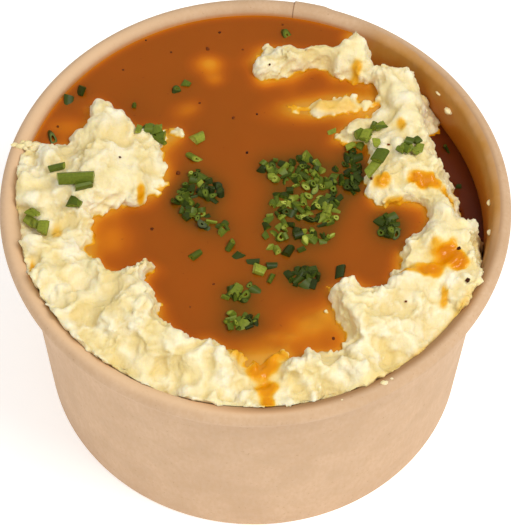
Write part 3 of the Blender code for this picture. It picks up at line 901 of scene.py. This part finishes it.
# %% Stains on the mash
RAGGED = 0.5
WET_HEIGHT = 0.8
WET_REACH = 3.0
# amber tint of the mash along the wall at the front right: its strength, and the radius where it
# starts
WALL_TINT = 0.3
WALL_TINT_RADIUS = 51.9
# x, y, half length, half width, turn, strength
STAINS = [
    (43, -17, 4.8, 4.6, 0, 1), (38, -20, 6.5, 2.4, 6, 0.95), (41.5, -26, 1.2, 4, 0, 0.55),
    (38, 3.6, 5.2, 2.4, -12, 0.85), (43.6, 0.8, 3.6, 2, -35, 0.8), (28, 3.4, 3, 2.4, 0, 0.6),
    (32, -0.8, 4.6, 1.6, 0, 0.55), (33, 18.5, 1.4, 2.6, 0, 0.45), (-25.6, 0.4, 1.2, 3.2, 0, 0.7),
    (23, 34, 1.8, 3, 0, 0.5), (14, 35, 3, 1.3, 0, 0.5), (-34, -9, 2, 5, 0, 0.45),
    (-43.7, -10.7, 1.7, 4.3, 0, 0.35), (-49, -20, 1, 3.5, 0, 0.5), (0.5, -40.5, 7, 3.6, 0, 0.85),
    (2, -44.5, 4.6, 4, 0, 0.85), (3, -49, 3.2, 4, 0, 0.8), (3, -52.5, 2.2, 2, 0, 0.8),
    (-39, -26, 1.2, 1.5, 0, 0.3), (47, -3.5, 2.6, 1.2, 0, 0.6), (13.5, -35, 6, 4.5, 0, 0.85),
    (17.5, 26, 10, 2.8, 6, 0.3), (24, 47, 2.5, 4, 0, 0.9),
]


def stain_mash(target):
    place = points_of(target)
    x, y, z = place.T
    ragged = RAGGED * smooth_noise(place + 40, 3.0)
    soak = np.zeros(len(place))
    for *oval, strength in STAINS:
        away = np.hypot(*in_oval(x, y, *oval))
        soak = np.maximum(soak, strength * np.clip(1.5 * (1 - away + ragged), 0, 1))
    near = np.clip(1.0 - (z - level_at(x, y)) / WET_HEIGHT + ragged, 0, 1)
    near = near * (shore_distance(x, y) < WET_REACH)
    radius, turn = np.hypot(x, y), np.degrees(np.arctan2(y, x))
    # the mash is tinted amber along the wall at the front right
    wall_tint = WALL_TINT * np.clip((radius - WALL_TINT_RADIUS + ragged) / 1.4, 0, 1)
    wall_tint = wall_tint * part_way(turn, -75, -50) * part_way(turn, -22, -32)
    # the stored soak also holds this amber tint along the wall
    store(target, "soak", np.max([soak, near, wall_tint], axis=0))
    return soak


soak = stain_mash(mash)
print("stained:", round(100 * float((soak > 0.3).mean())), "% of the points")

# %% [markdown]
# Each pool is a closed body: its top is level but for the liquid that climbs a wet edge
# by a quarter of a millimetre, and it reaches a little into the mash, so that no gap can
# show. Each point of it stores the depth of gravy under it, softened a little, because
# light spreads sideways in a cloudy liquid, and small close to the wall.

# %% Gravy
POOL_STEP = 0.45
HIDDEN = 4.0
CLIMB = 0.25
CLIMB_REACH = 0.8
INLAND = 3.5
GLOW_PASSES = 26
LEAST_DEPTH = 0.6
UNDER_MASH = 0.8
WALL_DEPTH = 0.7
WALL_DEEPENS = 2.6


def blurred(values, passes):
    """Average each value with its neighbours, a few times over."""
    for _ in range(passes):
        padded = np.pad(values, 1, mode="edge")
        cross = padded[:-2, 1:-1] + padded[2:, 1:-1] + padded[1:-1, :-2] + padded[1:-1, 2:]
        values = (cross + 4 * values) / 8
    return values


def closed_sheet(cells):
    """Faces of the top, the bottom and the sides over a grid's cells that are kept."""
    rows, columns = cells.shape
    number = np.arange((rows + 1) * (columns + 1)).reshape(rows + 1, columns + 1)
    under = number.size
    padded = np.pad(cells, 1)
    faces = []
    for i, j in zip(*np.nonzero(cells)):
        a, b, c, d = number[i, j], number[i, j + 1], number[i + 1, j + 1], number[i + 1, j]
        faces += [(a, b, c, d), (d + under, c + under, b + under, a + under)]
        sides = (
            (padded[i, j + 1], a, b), (padded[i + 1, j + 2], b, c),
            (padded[i + 2, j + 1], c, d), (padded[i + 1, j], d, a),
        )
        for neighbour, first, second in sides:
            if not neighbour:
                faces.append((second, first, first + under, second + under))
    return faces


def pool_sheet(level, beyond):
    """Points, faces and depths of the gravy at a level, on one side of the line."""
    rim = float(free_radius(level)) + 0.02
    steps = np.linspace(-rim, rim, int(2 * rim / POOL_STEP))
    x, y = np.meshgrid(steps, steps)
    height = mash_height(x, y) + GRAVY_LEVEL - level
    keep = (height < HIDDEN) & (at_side(x, y) == beyond) & (shore_distance(x, y) < INLAND)
    radius = np.hypot(x, y)
    keep &= radius < rim + POOL_STEP * 1.5
    x, y = (np.where(radius > rim, v * rim / np.maximum(radius, 1e-6), v) for v in (x, y))
    depth = blurred(np.maximum(-height, 0), GLOW_PASSES)
    depth = np.minimum(depth, WALL_DEPTH + (rim - np.minimum(radius, rim)) * WALL_DEEPENS)
    top = level + CLIMB * np.exp(-np.maximum(-height, 0) / CLIMB_REACH)
    bottom = level + np.minimum(height - UNDER_MASH, -LEAST_DEPTH)
    faces = closed_sheet(keep[:-1, :-1] & keep[1:, :-1] & keep[:-1, 1:] & keep[1:, 1:])
    narrow = np.minimum(1.0, inner_radius(bottom) / np.maximum(np.hypot(x, y), 1e-6))
    layers = ((x, y, top), (x * narrow, y * narrow, bottom))
    points = np.vstack([np.column_stack([part.ravel() for part in layer]) for layer in layers])
    return points, faces, np.tile(depth.ravel(), 2)


def build_gravy():
    points, faces, depth = pool_sheet(GRAVY_LEVEL, False)
    low_points, low_faces, low_depth = pool_sheet(SIDE_LEVEL, True)
    faces += [tuple(k + len(points) for k in face) for face in low_faces]
    # painted shade: 1 on the pool in the deep gap, which is painted dark
    gap_shade = np.repeat([0.0, 1.0], [len(points), len(low_points)])
    gravy = new_piece("brown_gravy", np.vstack([points, low_points]), faces, gravy_finish)
    store(gravy, "depth", np.concatenate([depth, low_depth]))
    store(gravy, "gap_shade", gap_shade)
    loose = bmesh.new()
    loose.from_mesh(gravy.data)
    bmesh.ops.delete(loose, geom=[v for v in loose.verts if not v.link_faces], context="VERTS")
    bmesh.ops.remove_doubles(loose, verts=loose.verts, dist=0.01 * MM)
    loose.to_mesh(gravy.data)
    loose.free()
    gravy.data.shade_smooth()
    gravy.data.set_sharp_from_angle(angle=math.radians(50))
    return gravy


gravy = build_gravy()
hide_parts("gravy", "gravy_side")
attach(gravy, "root")
print("gravy:", len(gravy.data.polygons), "faces")

# %% [markdown]
# Chives are cut across into short tubes of one to three millimetres. Each is a small
# ring with a wall, squeezed a little by the knife. They float singly and in heaps, most
# of them partly sunk, and a few larger ones lie on the mash. The draws are seeded, so
# every run gives the same sprinkle.

# %% Chives
SEED = 7
CHIVE_SIDES = 12
CHIVE_LENGTH = (1.0, 2.5)
CHIVE_RADIUS = (0.65, 1.2)
SINGLE_LONGER = 1.25
SINGLE_WIDER = 1.2
APART = 0.95
TRIES = 900
# painted shade: the tint of the chives in the deep gap
GAP_SHADE_TINT = 0.2
# x, y, half length, half width, pieces, lightest tint (lower for heaps in shade by the right mound
# and in the cove, as painted shade)
CHIVE_HEAPS = [
    (-13.3, 6.3, 1.8, 2, 7, 1), (-15.5, 1.2, 2.8, 2.8, 13, 0.75), (-10, 2.8, 2.8, 2.6, 13, 0.45),
    (-13.6, -3.4, 3, 2, 11, 0.75), (-10.8, -6, 1.3, 1.6, 4, 1), (-7, -7, 1.3, 1.6, 4, 1),
    (4, 9, 3.5, 3.5, 12, 0.9), (11, 8, 5, 5.5, 28, 0.95), (17, 5, 4, 5.5, 20, 0.9),
    (8, -0.5, 5, 4.5, 24, 1), (15, -2, 4.5, 4.5, 18, 0.95), (5, -6.5, 3.5, 4, 12, 0.9),
    (13, -8.5, 5, 2.8, 12, 1), (22, 8, 1.9, 5.5, 22, 0.35), (29.8, -6.5, 2.2, 3.4, 16, 0.45),
    (11, -20, 3.6, 2.6, 18, 0.45), (-4, -25, 2.4, 1.8, 7, 0.6), (-2.5, -31.6, 3.4, 1.9, 11, 0.8),
]
CHIVE_SINGLES = [
    (-13.2, 17.5), (-14.1, 12), (-16.3, 32.8), (-18.6, 30.8), (-28.1, 26.3), (-40.5, 30.5),
    (-43.2, 27.7), (-46.5, 17), (-13, -14.4), (19, -18.6), (6.8, 47.8), (-5.5, -12),
    (-3.7, -14.5), (-0.2, -16.3), (1.1, -18.4), (3.7, -17.3), (3.7, -20.5), (-1, -21.9),
    (0.2, -23.3), (-4.2, -24), (-6.5, -25.4), (-4.7, -29.9), (-2.3, -32.3), (0.3, -30.9),
    (-5, -33), (3.5, -12.3), (5, -13.1), (7.3, -13.4), (10.6, -12.7), (15, -10.9),
]
SIDE_CHIVES = [(44.6, 22.3), (46.9, 11.9)]
# x, y, length, radius, heading
CHIVES_ON_MASH = [
    (-40, 0.7, 8, 1.5, 5), (-38.4, -0.8, 3.4, 1.1, 20), (-44.6, 4.8, 3.6, 0.9, 5),
    (-40.4, -4.4, 2.2, 1.1, 70), (-47, -9, 3, 1.1, 80), (-22, 15, 3.5, 0.6, -35),
    (-26.6, 16.6, 2, 0.6, 80), (26.2, 7, 3.6, 1.3, 50), (28, 9, 3.2, 1.4, 62),
    (27.3, 13.2, 2.2, 0.9, 100), (17.5, 19.5, 2, 1, 20), (21.4, 15.4, 2.2, 1, 40),
]
# x, y, half length, half width, heading, pieces
CLUMPS_ON_MASH = [
    (-23.4, 18, 2.6, 1.7, -15, 9), (25.8, 17.2, 3, 1.4, 25, 9), (34, 11.2, 3, 1.3, 20, 8),
    (-50, -6.6, 1.4, 1.8, 0, 8), (-40.6, -4.8, 1, 1, 0, 2),
]


def chive_piece(draw, place, length, radius, heading, tilt, roll, tint):
    """Points, faces, cut marks and tints of one short tube."""
    squeeze = draw.uniform(0.45, 1.0)
    wall = radius * draw.uniform(0.45, 0.9)
    bulge, dent = draw.uniform(0, math.tau), draw.uniform(0, math.tau)
    lie = Matrix.Rotation(heading, 3, "Z") @ Matrix.Rotation(-tilt, 3, "Y")
    lie = lie @ Matrix.Rotation(roll, 3, "X")
    slant = [draw.uniform(-0.5, 0.5) for _ in range(2)]
    points, marks = [], []
    hollow = radius - wall
    sections = [(radius, -1, 0.1), (radius, 1, 0.1), (hollow, 1, 0.9), (hollow, -1, 0.9)]
    for ring, end, mark in sections:
        for k in range(CHIVE_SIDES):
            turn = 2 * math.pi * k / CHIVE_SIDES
            uneven = 1 + 0.16 * math.sin(2 * turn + bulge) + 0.1 * math.sin(3 * turn + dent)
            across, up = ring * uneven * math.cos(turn), ring * uneven * squeeze * math.sin(turn)
            along = end * length / 2 + slant[end > 0] * across
            points.append(place + lie @ Vector((along, across, up)))
            marks.append(mark)
    faces = []
    for ring in range(4):
        first, second = ring * CHIVE_SIDES, (ring + 1) % 4 * CHIVE_SIDES
        for k in range(CHIVE_SIDES):
            j = (k + 1) % CHIVE_SIDES
            faces.append((first + k, first + j, second + j, second + k))
    return points, faces, marks, [tint] * len(points)


def heap_places(draw):
    """Places and lightest tints of the floating pieces, heap by heap."""
    places = [(x, y, 1.0) for x, y in CHIVE_SINGLES]
    for cx, cy, long, wide, pieces, lightest in CHIVE_HEAPS:
        kept = 0
        for _ in range(TRIES):
            u, v = draw.gauss(0, 0.5), draw.gauss(0, 0.5)
            x, y = cx + long * u, cy + wide * v
            apart = all(math.hypot(x - px, y - py) > APART for px, py, _ in places)
            if u * u + v * v < 1 and apart and kept < pieces:
                places.append((x, y, lightest))
                kept += 1
    return places


def build_chives():
    draw = random.Random(SEED)
    points, faces, marks, tints = [], [], [], []

    def keep(piece):
        start = len(points)
        points.extend(piece[0])
        faces.extend(tuple(start + k for k in face) for face in piece[1])
        marks.extend(piece[2])
        tints.extend(piece[3])

    floating = heap_places(draw)
    afloat = [(x, y, GRAVY_LEVEL, lightest) for x, y, lightest in floating]
    # the chives in the deep gap get the dark tint, as painted shade
    afloat += [(x, y, SIDE_LEVEL, GAP_SHADE_TINT) for x, y in SIDE_CHIVES]
    for index, (x, y, level, lightest) in enumerate(afloat):
        length, radius = draw.uniform(*CHIVE_LENGTH), draw.uniform(*CHIVE_RADIUS)
        if index < len(CHIVE_SINGLES):
            length, radius = length * SINGLE_LONGER, radius * SINGLE_WIDER
        z = level + radius * draw.uniform(-0.5, 0.3)
        tilt = draw.uniform(0.5, 1.4) if draw.random() < 0.5 else draw.uniform(-0.4, 0.4)
        keep(chive_piece(
            draw, Vector((x, y, z)), length, radius, draw.uniform(0, math.tau), tilt,
            draw.uniform(0, math.tau), lightest * draw.uniform(0.1, 1.0),
        ))
    ground = points_of(mash)
    lying = list(CHIVES_ON_MASH)
    for cx, cy, long, wide, turn, pieces in CLUMPS_ON_MASH:
        for _ in range(pieces):
            u, v = long * draw.uniform(-1, 1), wide * draw.uniform(-1, 1)
            c, s = math.cos(math.radians(turn)), math.sin(math.radians(turn))
            size = (draw.uniform(1.4, 2.8), draw.uniform(0.6, 1.05), turn + draw.uniform(-60, 60))
            lying.append((cx + u * c - v * s, cy + u * s + v * c, *size))
    for x, y, length, radius, turn in lying:
        near = np.hypot(ground[:, 0] - x, ground[:, 1] - y) < 1.2
        z = np.percentile(ground[near, 2], 70) + radius * draw.uniform(0.5, 1.0)
        keep(chive_piece(
            draw, Vector((x, y, z)), length, radius, math.radians(turn), draw.uniform(-0.3, 0.3),
            draw.uniform(-0.5, 0.5), draw.uniform(0.5, 1.0),
        ))
    chives = new_piece("chopped_chives", points, faces, chive_finish)
    store(chives, "cut", marks)
    store(chives, "tint", tints)
    chives.data.shade_smooth()
    chives.data.set_sharp_from_angle(angle=math.radians(40))
    return chives, floating, lying


chives, floating, lying = build_chives()
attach(chives, "root")
print("chives:", len(floating), "on the pool and", len(lying), "on the mash")

# %% [markdown]
# A few specks of pepper and brown bits swim in the gravy and stick to the mash. Small
# crumbs of mash were dropped on the rim and on the wall, and at the left a torn flake
# hangs over the rim. Each one is a ball of few faces with its points pushed about, so no
# two look alike, and the flake is a row of them.

# %% Specks and crumbs
ON_RIM = 63.5
# x, y, radius
SPECKS = [
    (-31, 36.7, 0.25), (-11.5, 43.1, 0.45), (-3.3, 43, 0.25), (-8.8, 48, 0.3), (0.2, 24.4, 0.25),
    (-5.2, 23.3, 0.35), (-17.5, 7.7, 0.5), (-13, 27.4, 0.25), (-23, -7.6, 0.35), (-2, 13.5, 0.3),
    (-20, 42, 0.25), (6, 50.5, 0.25), (-26, 45.5, 0.2), (-9, -22, 0.25), (-14, -28, 0.2),
    (-45.4, 20.3, 0.3), (17.3, -35.7, 0.35), (45, -14.5, 0.4), (46.6, -23.2, 0.5),
    (30, 12.5, 0.3), (-30.5, 8, 0.25), (33, -28.5, 0.25), (3, 35.5, 0.25), (26, 4.5, 0.3),
]
# angle, height of its middle, radius, stretch; on the rim or on the inner wall
FALLEN = [
    (-59.5, 63.7, 0.7, 1.4), (-57.6, 63.8, 0.4, 1), (-61.4, 63.7, 0.35, 1.2),
    (-70.2, 63.7, 0.45, 1.3), (-92, 63.7, 0.4, 1.5), (31.9, 59.5, 1, 1.1),
    (37, 60.6, 0.35, 2.2), (1.5, 60.5, 0.5, 1.5), (-7.5, 61, 0.5, 1.6),
]
# x, y, height over the rim, radius, stretch
FLAKE = [
    (-50.3, 13.6, -0.9, 1.3, 1.3), (-51.9, 13.9, -0.2, 1, 1.3), (-53.4, 13.2, 0.15, 0.8, 1.4),
    (-54.8, 13.4, 0.3, 0.5, 1.6), (-52.3, 12.7, 0, 0.6, 1), (-53, 14.4, 0, 0.45, 1.2),
]


def lumpy_ball(draw, place, radius, stretch, turn):
    """Points and faces of one small uneven ball."""
    ball = bmesh.new()
    bmesh.ops.create_icosphere(ball, subdivisions=2, radius=radius)
    lie = Matrix.Rotation(turn, 3, "Z")
    shift = Vector([draw.uniform(0, 50) for _ in range(3)])
    points = []
    for vert in ball.verts:
        uneven = 1 + 0.5 * noise.noise(vert.co / radius * 1.3 + shift)
        around = Vector((vert.co.x, vert.co.y * stretch, vert.co.z * 0.7)) * uneven
        points.append(place + lie @ around)
    faces = [tuple(v.index for v in face.verts) for face in ball.faces]
    ball.free()
    return points, faces


def joined(name, balls, finish):
    points, faces = [], []
    for ball_points, ball_faces in balls:
        faces += [tuple(k + len(points) for k in face) for face in ball_faces]
        points += ball_points
    made = new_piece(name, points, faces, finish)
    made.data.shade_smooth()
    return made


def build_specks():
    draw = random.Random(SEED + 1)
    ground = points_of(mash)
    balls = []
    for x, y, radius in SPECKS:
        near = np.hypot(ground[:, 0] - x, ground[:, 1] - y) < 0.7
        z = max(GRAVY_LEVEL, ground[near, 2].max())
        place = Vector((x, y, z))
        balls.append(lumpy_ball(draw, place, radius, 1.2, draw.uniform(0, math.tau)))
    return joined("ground_pepper", balls, pepper_finish)


def build_crumbs():
    draw = random.Random(SEED + 2)
    balls = []
    for angle, z, radius, stretch in FALLEN:
        turn = math.radians(angle)
        away = CURL_RADIUS if z > ON_RIM else float(free_radius(z)) - radius * 0.3
        place = Vector((away * math.cos(turn), away * math.sin(turn), z))
        balls.append(lumpy_ball(draw, place, radius, stretch, turn))
    for x, y, lift, radius, stretch in FLAKE:
        place = Vector((x, y, RIM_TOP + lift))
        balls.append(lumpy_ball(draw, place, radius, stretch, math.radians(100)))
    crumbs = joined("mash_crumbs", balls, mash_finish)
    store(crumbs, "hollow", np.zeros(len(crumbs.data.vertices)))
    store(crumbs, "soak", np.full(len(crumbs.data.vertices), 0.12))
    return crumbs


specks = build_specks()
crumbs = build_crumbs()
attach(specks, "root")
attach(crumbs, "root")
print("pepper:", len(SPECKS), "specks; mash:", len(FALLEN), "crumbs and a flake")

# %% [markdown]
# The chives shade the gravy around them and throw green light onto it, so it is painted
# olive brown there, as painted shade. The gravy's points store how much of it is near.

# %% Painted shade of the gravy near the chives
CHIVE_SHADE_STRENGTH = 0.13
CHIVE_SHADE_SPREAD = 13.0


def shade_gravy_near_chives():
    """Store the painted shade by the chives: less with the square of the distance to each piece.
    """
    place = points_of(gravy)
    chive_shade = np.zeros(len(place))
    for x, y, _ in floating:
        squared = (place[:, 0] - x) ** 2 + (place[:, 1] - y) ** 2
        chive_shade += CHIVE_SHADE_STRENGTH * np.exp(-squared / CHIVE_SHADE_SPREAD)
    store(gravy, "chive_shade", np.clip(chive_shade, 0, 1))
    return chive_shade


print("olive points of the gravy:", int((shade_gravy_near_chives() > 0.3).sum()))

# %% [markdown]
# The camera stands where the photographer's did: above and in front, far off with a
# long lens. It aims a little under the rim. The light is soft: the strongest comes from
# above and the front right, a weaker one from the front left, and the rest from all
# round. The floor is nearly white and glows a little, so that it stays pale.

# %% Camera, floor and light
VIEW_DISTANCE = 584.9
VIEW_RISE = math.radians(55.8)
LENS = 178.3
AIM = Vector((0.2, 0.0, 36.8)) * MM
ROLL = 0.0105
FLOOR_SIZE = 4.0
FLOOR_DROP = 0.05
SKY_STRENGTH = 0.54
WHITE = (1.0, 1.0, 1.0, 1.0)


def build_camera():
    data = bpy.data.cameras.new("camera")
    data.lens = LENS
    data.sensor_width = 36.0
    data.clip_start = 0.01
    made = placed("camera", data)
    back = Vector((0, -math.cos(VIEW_RISE), math.sin(VIEW_RISE)))
    made.location = (Vector((0, 0, CURL_Z)) + back * VIEW_DISTANCE) * MM
    look = (AIM - made.location).to_track_quat("-Z", "Y").to_matrix()
    made.rotation_euler = (look @ Matrix.Rotation(ROLL, 3, "Z")).to_euler()
    bpy.context.scene.camera = made


def build_floor():
    made, tree, place = new_material("pale floor")
    base = mixed(tree, mottle(tree, place, 60.0), "#f7f6f4", "#faf9f7")
    surface(tree, {
        "Base Color": base, "Roughness": 0.8, "Emission Color": WHITE, "Emission Strength": 0.4,
    })
    half = FLOOR_SIZE / 2 / MM
    around = ((-half, -half), (half, -half), (half, half), (-half, half))
    floor = new_piece("floor", [(x, y, -FLOOR_DROP) for x, y in around], [(0, 1, 2, 3)], made)


def area_light(name, place, size, power, tone):
    data = bpy.data.lights.new(name, "AREA")
    data.shape = "DISK"
    data.size = size
    data.energy = power
    data.color = colour(tone)[:3]
    made = placed(name, data)
    made.location = place
    made.rotation_euler = (-Vector(place)).to_track_quat("-Z", "Y").to_euler()


build_camera()
build_floor()
area_light("key", (0.35, -0.2, 0.75), 0.4, 3.8, "#fffdf6")
area_light("fill", (-0.45, -0.6, 0.6), 0.7, 1.3, "#fbfdff")
world = bpy.data.worlds.new("studio")
world.use_nodes = True
sky = world.node_tree.nodes["Background"]
sky.inputs["Color"].default_value = WHITE
sky.inputs["Strength"].default_value = SKY_STRENGTH
bpy.context.scene.world = world
bpy.context.scene.view_settings.view_transform = "Standard"
